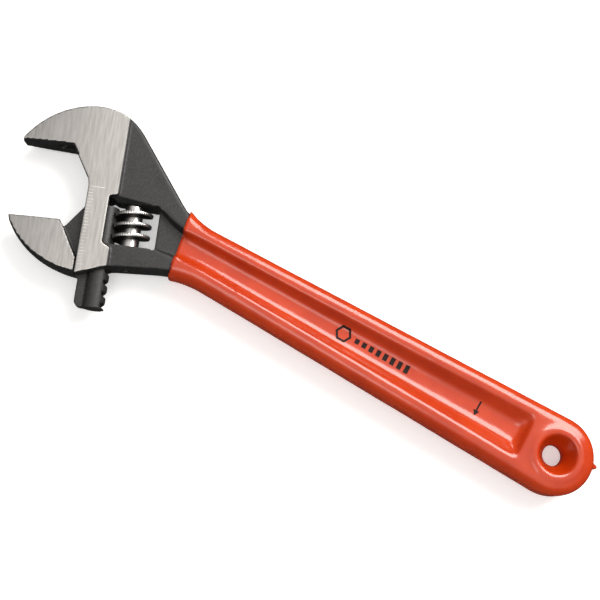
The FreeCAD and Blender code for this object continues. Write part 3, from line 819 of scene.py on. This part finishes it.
# %% [markdown]
# ## Group: place in the head's axes
# A material can find where it is from the Object coordinate, which is the frame's own here because no
# piece has a transform of its own. Three dot products turn it into s, t and z. The ground mask compares
# z with the height of the ground side and asks that the surface lies flat, so a wall that only reaches
# that height stays black. It also stops a little inside the band's back edge, where the steel turns down.

# %% Group: place in the head's axes
BRIGHT_DEPTH, BLACK_DEPTH = 0.06, 0.16  # depths below the ground side where the steel turns black
WALL, FLAT = 0.90, 0.95                 # how far up a normal points on a wall and on a side
RIM_BLACK, RIM_BRIGHT = 0.45, 0.75      # the turn from black to bright, inside the band's back edge


def make_place_group():
    """s, t and z of the shaded point, in millimetres, and a mask of the ground sides."""
    tree, _, out = group("place_in_head", [], [("s", "NodeSocketFloat"), ("t", "NodeSocketFloat"),
                                               ("z", "NodeSocketFloat"), ("Ground", "NodeSocketFloat")])
    place = node(tree, "ShaderNodeTexCoord").outputs["Object"]
    rel = node(tree, "ShaderNodeVectorMath", {0: place}, operation="SUBTRACT")
    rel.inputs[1].default_value = HEAD_ORIGIN
    sockets = []
    for axis in (S_AXIS, T_AXIS, Z_AXIS):
        dot = node(tree, "ShaderNodeVectorMath", {0: rel.outputs[0]}, operation="DOT_PRODUCT")
        dot.inputs[1].default_value = axis / MM
        sockets.append(dot.outputs["Value"])
    s, t, z = sockets
    past = math_node(tree, "MAXIMUM", math_node(tree, "SUBTRACT", s, TAPER_START), 0.0)
    fall = math_node(tree, "MULTIPLY", math_node(tree, "MULTIPLY", past, past), 1 / (2 * TAPER_R))
    height = math_node(tree, "SUBTRACT", PAD_HALF, fall)
    gap = math_node(tree, "SUBTRACT", height, math_node(tree, "ABSOLUTE", z))
    normal = node(tree, "ShaderNodeNewGeometry").outputs["True Normal"]
    up = math_node(tree, "ABSOLUTE", node(tree, "ShaderNodeSeparateXYZ", {"Vector": normal}).outputs["Z"])
    high = ramp(tree, gap, BLACK_DEPTH, BRIGHT_DEPTH)
    ground = math_node(tree, "MULTIPLY", high, ramp(tree, up, WALL, FLAT))
    in_band = ramp(tree, s, BACK_S + RIM_BLACK, BACK_S + RIM_BRIGHT)
    ground = math_node(tree, "MULTIPLY", ground, in_band)
    for name, socket in zip(("s", "t", "z", "Ground"), (s, t, z, ground)):
        tree.links.new(socket, out.inputs[name])
    return tree


place_group = make_place_group()
print("group:", place_group.name)

# %% [markdown]
# ## Group: grain
# Cast, forged and dipped surfaces all have a fine grain and slow stains. Noise gives both, at two
# scales that keep the same ratio, and a Voronoi pattern adds round pits to the height. One input sets
# the grain's size in millimetres, so each finish takes its own.

# %% Group: grain
def make_grain_group():
    """Fine pits and slow stains: Fine and Broad, both about 0 to 1, and Height for a bump."""
    tree, source, out = group("grain", [("Size mm", "NodeSocketFloat", 0.4)],
                              [("Fine", "NodeSocketFloat"), ("Broad", "NodeSocketFloat"),
                               ("Height", "NodeSocketFloat")])
    place = node(tree, "ShaderNodeTexCoord").outputs["Object"]
    per_metre = math_node(tree, "DIVIDE", 1000.0, source.outputs["Size mm"])
    fine = node(tree, "ShaderNodeTexNoise", {"Vector": place, "Scale": per_metre},
                Detail=3.0, Roughness=0.6)
    wide_scale = math_node(tree, "DIVIDE", per_metre, 22.0)
    broad = node(tree, "ShaderNodeTexNoise", {"Vector": place, "Scale": wide_scale},
                 Detail=4.0, Roughness=0.55)
    pit_scale = math_node(tree, "MULTIPLY", per_metre, 0.8)
    pits = node(tree, "ShaderNodeTexVoronoi", {"Vector": place, "Scale": pit_scale})
    pit_depth = ramp(tree, pits.outputs["Distance"], 0.0, 0.45)
    height = math_node(tree, "ADD", math_node(tree, "MULTIPLY", fine.outputs[0], 0.6),
                       math_node(tree, "MULTIPLY", pit_depth, 0.4))
    tree.links.new(ramp(tree, fine.outputs[0], 0.3, 0.7), out.inputs["Fine"])
    tree.links.new(ramp(tree, broad.outputs[0], 0.3, 0.7), out.inputs["Broad"])
    tree.links.new(height, out.inputs["Height"])
    return tree


grain_group = make_grain_group()
print("group:", grain_group.name)

# %% [markdown]
# ## Group: brush lines
# A grinding belt leaves lines that are thin across the belt and very long with it. The same noise does
# that when its place is squeezed along one axis. A second, wider copy gives the streaks that a worn
# belt leaves.

# %% Group: brush lines
def make_brush_group():
    """Lines left by a grinding belt, running along t: Lines about 0 to 1, Streaks wider and softer."""
    tree, source, out = group("brush_lines", [("s", "NodeSocketFloat", 0.0), ("t", "NodeSocketFloat", 0.0),
                                              ("Line mm", "NodeSocketFloat", 0.12)],
                              [("Lines", "NodeSocketFloat"), ("Streaks", "NodeSocketFloat")])
    per_mm = math_node(tree, "DIVIDE", 1.0, source.outputs["Line mm"])
    across = math_node(tree, "MULTIPLY", source.outputs["s"], per_mm)
    along = math_node(tree, "MULTIPLY", source.outputs["t"], math_node(tree, "MULTIPLY", per_mm, 0.006))
    fine_place = node(tree, "ShaderNodeCombineXYZ", {"X": across, "Y": along})
    fine = node(tree, "ShaderNodeTexNoise", {"Vector": fine_place.outputs[0]},
                Scale=1.0, Detail=3.0, Roughness=0.65)
    wide_across = math_node(tree, "MULTIPLY", across, 0.12)
    wide_along = math_node(tree, "MULTIPLY", along, 2.2)
    wide_place = node(tree, "ShaderNodeCombineXYZ", {"X": wide_across, "Y": wide_along})
    wide = node(tree, "ShaderNodeTexNoise", {"Vector": wide_place.outputs[0]},
                Scale=1.0, Detail=4.0, Roughness=0.6)
    tree.links.new(ramp(tree, fine.outputs[0], 0.28, 0.72), out.inputs["Lines"])
    tree.links.new(ramp(tree, wide.outputs[0], 0.3, 0.7), out.inputs["Streaks"])
    return tree


brush_group = make_brush_group()
print("group:", brush_group.name)

# %% [markdown]
# ## Materials from Python
# Every finish starts from the same empty tree with one Principled shader. Its colour, roughness and
# normal come from nodes, because a single flat value would look like a toy. A value that is the same
# all over is set on the shader's own socket.

# %% Material helpers
def new_material(name):
    """Material with an empty node tree, its output and its shader."""
    material = bpy.data.materials.new(name)
    material.use_nodes = True
    tree = material.node_tree
    tree.nodes.clear()
    shader = tree.nodes.new("ShaderNodeBsdfPrincipled")
    output = tree.nodes.new("ShaderNodeOutputMaterial")
    tree.links.new(shader.outputs[0], output.inputs["Surface"])
    return material, tree, shader


def use_group(tree, shared, **values):
    """Place a shared node group in a material."""
    made = tree.nodes.new("ShaderNodeGroup")
    made.node_tree = shared
    for key, value in values.items():
        socket = made.inputs[key.replace("_", " ")]
        if isinstance(value, (int, float)):
            socket.default_value = value
        else:
            tree.links.new(value, socket)
    return made


def bump(tree, height, strength, distance_mm):
    """Bump node's normal from a height."""
    made = node(tree, "ShaderNodeBump", {"Height": height}, Strength=strength, Distance=distance_mm * MM)
    return made.outputs["Normal"]


def dress(piece, material):
    """Give a piece one material."""
    piece.data.materials.clear()
    piece.data.materials.append(material)


print("groups to share:", [tree.name for tree in bpy.data.node_groups])

# %% [markdown]
# ## Forged steel, black with ground sides
# The forging is blacked with phosphate, a matt and slightly mottled skin, and then the sides are
# ground, which bares bright steel. Two materials could share the faces out, but the border would follow
# the mesh. One material holds both instead, and the mask from the head's axes says which is seen. Edges
# that hands and bench have rubbed are a little lighter; Pointiness finds them.

# %% Forged steel
def make_forged_steel():
    """Black phosphate on the forged skin, brushed bright steel on the ground sides."""
    material, tree, shader = new_material("blacked_steel_with_ground_sides")
    place = use_group(tree, place_group)
    grain = use_group(tree, grain_group, Size_mm=0.55)
    brush = use_group(tree, brush_group, s=place.outputs["s"], t=place.outputs["t"], Line_mm=0.16)
    ground = place.outputs["Ground"]
    worn = node(tree, "ShaderNodeNewGeometry").outputs["Pointiness"]
    edge = ramp(tree, worn, 0.52, 0.60)
    black = mix_colour(tree, grain.outputs["Broad"], (0.011, 0.011, 0.012), (0.020, 0.020, 0.021))
    dust = math_node(tree, "MULTIPLY", grain.outputs["Fine"], 0.45)
    black = mix_colour(tree, dust, black, (0.070, 0.069, 0.068))
    rubbed = math_node(tree, "MULTIPLY", edge, 0.30)
    black = mix_colour(tree, rubbed, black, (0.16, 0.16, 0.16))
    bright = mix_colour(tree, brush.outputs["Streaks"], (0.38, 0.365, 0.35), (0.50, 0.485, 0.47))
    scratch = math_node(tree, "MULTIPLY", brush.outputs["Lines"], 0.30)
    bright = mix_colour(tree, scratch, bright, (0.66, 0.65, 0.64))
    colour = mix_colour(tree, ground, black, bright)
    tree.links.new(colour, shader.inputs["Base Color"])
    tree.links.new(ramp(tree, ground, 0.0, 1.0, 0.25, 1.0), shader.inputs["Metallic"])
    rough_black = ramp(tree, grain.outputs["Broad"], 0.0, 1.0, 0.40, 0.54)
    rough_bright = ramp(tree, brush.outputs["Lines"], 0.0, 1.0, 0.30, 0.44)
    rough = node(tree, "ShaderNodeMix", {0: ground, 2: rough_black, 3: rough_bright})
    tree.links.new(rough.outputs[0], shader.inputs["Roughness"])
    unground = math_node(tree, "SUBTRACT", 1.0, ground)
    black_height = math_node(tree, "MULTIPLY", grain.outputs["Height"], unground)
    shallow = math_node(tree, "MULTIPLY", ground, 0.10)
    bright_height = math_node(tree, "MULTIPLY", brush.outputs["Lines"], shallow)
    height = math_node(tree, "ADD", black_height, bright_height)
    tree.links.new(bump(tree, height, 0.80, 0.10), shader.inputs["Normal"])
    return material


forged_steel = make_forged_steel()
dress(forging, forged_steel)
dress(jaw, forged_steel)
print("material:", forged_steel.name)

# %% [markdown]
# ## Dipped vinyl
# Dipped vinyl is a soft plastic with a wet gloss. Its colour is deep, and the gloss is faintly uneven
# because the coat sags as it cures. One rough layer alone looks like paint and one smooth layer like
# glass, so a clear coat over a softer base gives both highlights. A little light scatters inside it.

# %% Vinyl
def make_vinyl():
    """Glossy orange-red vinyl with a slow waviness and a few fine specks."""
    material, tree, shader = new_material("dipped_vinyl")
    grain = use_group(tree, grain_group, Size_mm=0.5)
    slow = use_group(tree, grain_group, Size_mm=0.55)
    colour = mix_colour(tree, slow.outputs["Broad"], (0.47, 0.033, 0.0025), (0.54, 0.043, 0.0035))
    tree.links.new(colour, shader.inputs["Base Color"])
    tree.links.new(ramp(tree, grain.outputs["Fine"], 0.0, 1.0, 0.16, 0.24), shader.inputs["Roughness"])
    skin = math_node(tree, "MULTIPLY", slow.outputs["Fine"], 0.02)
    wave = math_node(tree, "ADD", slow.outputs["Broad"], skin)
    tree.links.new(bump(tree, wave, 0.40, 0.14), shader.inputs["Normal"])
    shader.inputs["Subsurface Weight"].default_value = 0.12
    shader.inputs["Subsurface Radius"].default_value = (1.0, 0.25, 0.1)
    shader.inputs["Subsurface Scale"].default_value = 1.2 * MM
    shader.inputs["Coat Weight"].default_value = 0.35
    shader.inputs["Coat Roughness"].default_value = 0.05
    return material


vinyl = make_vinyl()
dress(grip, vinyl)
print("material:", vinyl.name)

# %% [markdown]
# ## Turned steel of the worm
# The worm's crest and hub are polished by use and stay bright. Between the turns the flanks are painted dark:
# painted shade where the turns shade each other, with a little oil. Painting vertices could show that, but a rule
# is easier to change: the distance from the worm's axis tells crest, flank and hub apart.

# %% Worm steel
def make_worm_steel():
    """Bright crest and hub, flanks painted dark as shade and a little oil between the turns, with fine turning
    lines.
    """
    material, tree, shader = new_material("turned_worm_steel")
    place = use_group(tree, place_group)
    grain = use_group(tree, grain_group, Size_mm=0.3)
    out_s = math_node(tree, "SUBTRACT", place.outputs["s"], WORM_S)
    square = math_node(tree, "ADD", math_node(tree, "MULTIPLY", out_s, out_s),
                       math_node(tree, "MULTIPLY", place.outputs["z"], place.outputs["z"]))
    radius = math_node(tree, "SQRT", square)
    # Painted shade: the flanks between the turns are painted near black, and only the crest and hub keep the
    # bright steel colour.
    crest = ramp(tree, radius, CREST_R - 1.0, CREST_R - 0.35)
    hub = ramp(tree, radius, HUB_R + 0.5, HUB_R + 0.05)
    bright = math_node(tree, "MAXIMUM", crest, hub)
    colour = mix_colour(tree, bright, (0.045, 0.044, 0.043), (0.62, 0.61, 0.60))
    oil = math_node(tree, "MULTIPLY", grain.outputs["Broad"], 0.25)
    colour = mix_colour(tree, oil, colour, (0.3, 0.28, 0.26))
    tree.links.new(colour, shader.inputs["Base Color"])
    tree.links.new(ramp(tree, bright, 0.0, 1.0, 0.42, 0.30), shader.inputs["Roughness"])
    shader.inputs["Metallic"].default_value = 1.0
    lines = node(tree, "ShaderNodeTexNoise", {"W": math_node(tree, "MULTIPLY", radius, 6.0)},
                 noise_dimensions="1D", Scale=1.0, Detail=2.0)
    height = math_node(tree, "ADD", lines.outputs[0], grain.outputs["Fine"])
    tree.links.new(bump(tree, height, 0.15, 0.03), shader.inputs["Normal"])
    return material


worm_steel = make_worm_steel()
dress(worm, worm_steel)
print("material:", worm_steel.name)

# %% [markdown]
# ## Drawn steel of the pin, the spring and the scale
# These are small, plain and bright, so they share one recipe: a mottled grey with lines from the die.
# The CAD's own pin and spring are the right shape and stay; only their material slots are filled. The
# pin's head sits in a deep hole, so the hole's shade is painted on it: past the window's end it is painted near
# black.

# %% Pin, spring and scale steel
def make_plain_steel(name, colour, roughness, line_mm, painted_shade_past=None):
    """Drawn steel of the pin and the spring wire; past a place along t it can be painted near black, as painted
    shade.
    """
    material, tree, shader = new_material(name)
    place = use_group(tree, place_group)
    grain = use_group(tree, grain_group, Size_mm=0.35)
    brush = use_group(tree, brush_group, s=place.outputs["s"], t=place.outputs["t"], Line_mm=line_mm)
    darker = tuple(0.7 * value for value in colour)
    mixed = mix_colour(tree, grain.outputs["Broad"], darker, colour)
    if painted_shade_past is not None:
        # Painted shade: past this place the pin lies deep in its hole, and it is painted near black.
        painted_hole_shade = ramp(tree, place.outputs["t"], painted_shade_past - 0.5, painted_shade_past)
        mixed = mix_colour(tree, painted_hole_shade, mixed, (0.012, 0.012, 0.012))
    tree.links.new(mixed, shader.inputs["Base Color"])
    rough = ramp(tree, brush.outputs["Lines"], 0.0, 1.0, roughness, roughness + 0.12)
    tree.links.new(rough, shader.inputs["Roughness"])
    shader.inputs["Metallic"].default_value = 1.0
    tree.links.new(bump(tree, brush.outputs["Lines"], 0.2, 0.02), shader.inputs["Normal"])
    return material


# The pin's head past the window's end gets the painted shade of its hole.
pin_steel = make_plain_steel("drawn_pin_steel", (0.42, 0.41, 0.40), 0.32, 0.2,
                             painted_shade_past=WINDOW_TOP_T + WINDOW_LENGTH + 2.0)
spring_steel = make_plain_steel("oiled_spring_wire", (0.36, 0.34, 0.31), 0.28, 0.1)
scale_steel = make_plain_steel("rolled_scale_lines", (0.80, 0.77, 0.75), 0.45, 0.1)
dress(frame["nodes"]["worm_pin"], pin_steel)
dress(frame["nodes"]["worm_spring"], spring_steel)
dress(scale, scale_steel)
print("steels:", pin_steel.name, spring_steel.name, scale_steel.name)

# %% [markdown]
# ## Printing ink
# Ink on vinyl is thin and matt, and it wears through in specks. Its shine is turned down, so that the
# signs stay dark where the glossy coat round them mirrors the light.

# %% Ink of the printed signs
def make_ink():
    """Thin dark ink, slightly worn through."""
    material, tree, shader = new_material("printing_ink")
    grain = use_group(tree, grain_group, Size_mm=0.25)
    colour = mix_colour(tree, grain.outputs["Fine"], (0.008, 0.005, 0.005), (0.020, 0.010, 0.008))
    tree.links.new(colour, shader.inputs["Base Color"])
    tree.links.new(ramp(tree, grain.outputs["Fine"], 0.0, 1.0, 0.50, 0.62), shader.inputs["Roughness"])
    shader.inputs["Specular IOR Level"].default_value = 0.15
    tree.links.new(bump(tree, grain.outputs["Height"], 0.2, 0.02), shader.inputs["Normal"])
    return material


ink = make_ink()
dress(signs, ink)
print("material:", ink.name)

# %% [markdown]
# ## The floor
# The wrench lies on a plain white table. A little glow of its own keeps the shadows pale, as light that
# bounces about a white studio would. It is left out of the reflections, so that the sides of the grip
# stay deep red near the table.

# %% Floor
FLOOR_GAP = 0.2                 # the table's top below the lowest point
FLOOR_HALF = 3.0                # metres from its middle to its edges
lowest = min(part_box(name)[0].z for name in frame["nodes"])


def make_floor():
    """Large matt white table top just under the wrench."""
    bm = bmesh.new()
    bmesh.ops.create_grid(bm, x_segments=8, y_segments=8, size=FLOOR_HALF)
    mesh = bpy.data.meshes.new("table_top")
    bm.to_mesh(mesh)
    bm.free()
    floor = new_object("table_top", mesh)
    floor.location.z = lowest - FLOOR_GAP * MM
    material, tree, shader = new_material("white_table")
    grain = use_group(tree, grain_group, Size_mm=2.0)
    colour = mix_colour(tree, grain.outputs["Fine"], (0.83, 0.84, 0.84), (0.86, 0.87, 0.87))
    tree.links.new(colour, shader.inputs["Base Color"])
    tree.links.new(ramp(tree, grain.outputs["Fine"], 0.0, 1.0, 0.70, 0.75), shader.inputs["Roughness"])
    shader.inputs["Emission Color"].default_value = (1.0, 1.0, 1.0, 1.0)
    shader.inputs["Emission Strength"].default_value = 0.42
    dress(floor, material)
    floor.visible_glossy = False
    return floor


floor = make_floor()
print("floor at", round(floor.location.z / MM, 2), "mm")

# %% [markdown]
# ## Backdrop
# A low view looks past the edge of the table. A studio hangs pale paper behind it; here it is a wide
# dome that only the camera sees, so it changes nothing in the light or in the reflections.

# %% Backdrop
BACKDROP_R = 12.0               # metres


def make_backdrop():
    """Pale dome round the table, seen by the camera only."""
    bm = bmesh.new()
    bmesh.ops.create_uvsphere(bm, u_segments=64, v_segments=32, radius=BACKDROP_R)
    mesh = bpy.data.meshes.new("pale_backdrop")
    bm.to_mesh(mesh)
    bm.free()
    backdrop = new_object("pale_backdrop", mesh)
    shade_smooth(backdrop)
    material, tree, shader = new_material("backdrop_paper")
    grain = use_group(tree, grain_group, Size_mm=60.0)
    glow = mix_colour(tree, grain.outputs["Broad"], (0.88, 0.88, 0.88), (0.90, 0.90, 0.90))
    shader.inputs["Base Color"].default_value = (0.0, 0.0, 0.0, 1.0)
    shader.inputs["Roughness"].default_value = 1.0
    shader.inputs["Specular IOR Level"].default_value = 0.0
    tree.links.new(glow, shader.inputs["Emission Color"])
    shader.inputs["Emission Strength"].default_value = 1.0
    dress(backdrop, material)
    backdrop.visible_diffuse = False
    backdrop.visible_glossy = False
    backdrop.visible_transmission = False
    backdrop.visible_volume_scatter = False
    backdrop.visible_shadow = False
    return backdrop


backdrop = make_backdrop()
print("backdrop radius", BACKDROP_R, "m")

# %% [markdown]
# ## Lights
# Soft light comes from large area lights, because a small lamp would give hard shadows and pinpoint
# glints. The main softbox stands behind the back of the head, so the sides that face the sliding jaw
# stay dark and the shadow falls that way. A weak second one opens up the near side.

# %% Softboxes
WARM = (1.0, 0.975, 0.94)


def softbox(name, place, aim, size, power, colour):
    """Area light at place, facing aim, with its size in metres and its power in watts."""
    light = bpy.data.lights.new(name, "AREA")
    light.shape = "RECTANGLE"
    light.size, light.size_y = size
    light.energy = power
    light.color = colour
    lamp = bpy.data.objects.new(name, light)
    bpy.context.scene.collection.objects.link(lamp)
    lamp.location = place
    lamp.rotation_euler = (Vector(aim) - Vector(place)).to_track_quat("-Z", "Y").to_euler()
    return lamp


low_corner, high_corner = cad_box
centre = (Vector(low_corner) + Vector(high_corner)) / 2
softbox("key_softbox", (-0.10, -0.80, 0.85), centre, (0.9, 0.7), 17.5, WARM)
softbox("front_softbox", (0.22, 0.38, 0.95), centre, (0.5, 0.4), 1.3, WARM)

# %% [markdown]
# ## What the steel mirrors
# Flat bright steel shows whatever it mirrors, and seen from above that is the ceiling. So the world is
# bright overhead and dim towards the horizon: the ground sides turn light grey, and the walls of the
# hollow and the forged edges keep their depth.

# %% World
def make_world():
    """Surroundings that are bright overhead, dim at the sides and dark below."""
    world = bpy.data.worlds.new("pale_room")
    bpy.context.scene.world = world
    world.use_nodes = True
    tree = world.node_tree
    background = tree.nodes["Background"]
    direction = node(tree, "ShaderNodeTexCoord").outputs["Generated"]
    up = node(tree, "ShaderNodeSeparateXYZ", {"Vector": direction}).outputs["Z"]
    low = mix_colour(tree, ramp(tree, up, 0.0, 0.15), (0.03, 0.03, 0.03), (0.16, 0.16, 0.16))
    colour = mix_colour(tree, ramp(tree, up, 0.50, 0.97), low, (1.05, 1.02, 0.985))
    tree.links.new(colour, background.inputs["Color"])
    background.inputs["Strength"].default_value = 1.0
    return world


world = make_world()
print("world:", world.name)

# %% [markdown]
# ## The camera
# The camera looks down on the wrench from about half a metre, a little from the side of the sliding
# jaw, with the jaws at the upper left. A lens of 60 mm keeps some perspective, so the near walls of
# the jaws can be seen. Standard view transform keeps the vinyl's colour as saturated as it is.

# %% Camera
CAMERA_PLACE = Vector((125.21, 103.43, 464.16)) * MM
CAMERA_TURN = [math.radians(angle) for angle in (12.407, -5.023, -150.938)]
LENS = 60.0


def make_camera():
    """Camera looking down on the wrench, the jaws at the upper left."""
    data = bpy.data.cameras.new("view")
    data.sensor_width = 36.0
    data.lens = LENS
    data.clip_start = 0.01
    camera = bpy.data.objects.new("view", data)
    bpy.context.scene.collection.objects.link(camera)
    camera.location = CAMERA_PLACE
    camera.rotation_euler = CAMERA_TURN
    bpy.context.scene.camera = camera
    return camera


camera = make_camera()
bpy.context.scene.view_settings.view_transform = "Standard"
print("camera at", [round(v, 3) for v in camera.location])

# %% [markdown]
# ## The design's size
# The design's box is printed, in millimetres.

# %% Print the design's size
print("cad box", [[round(v / MM, 1) for v in corner] for corner in cad_box])
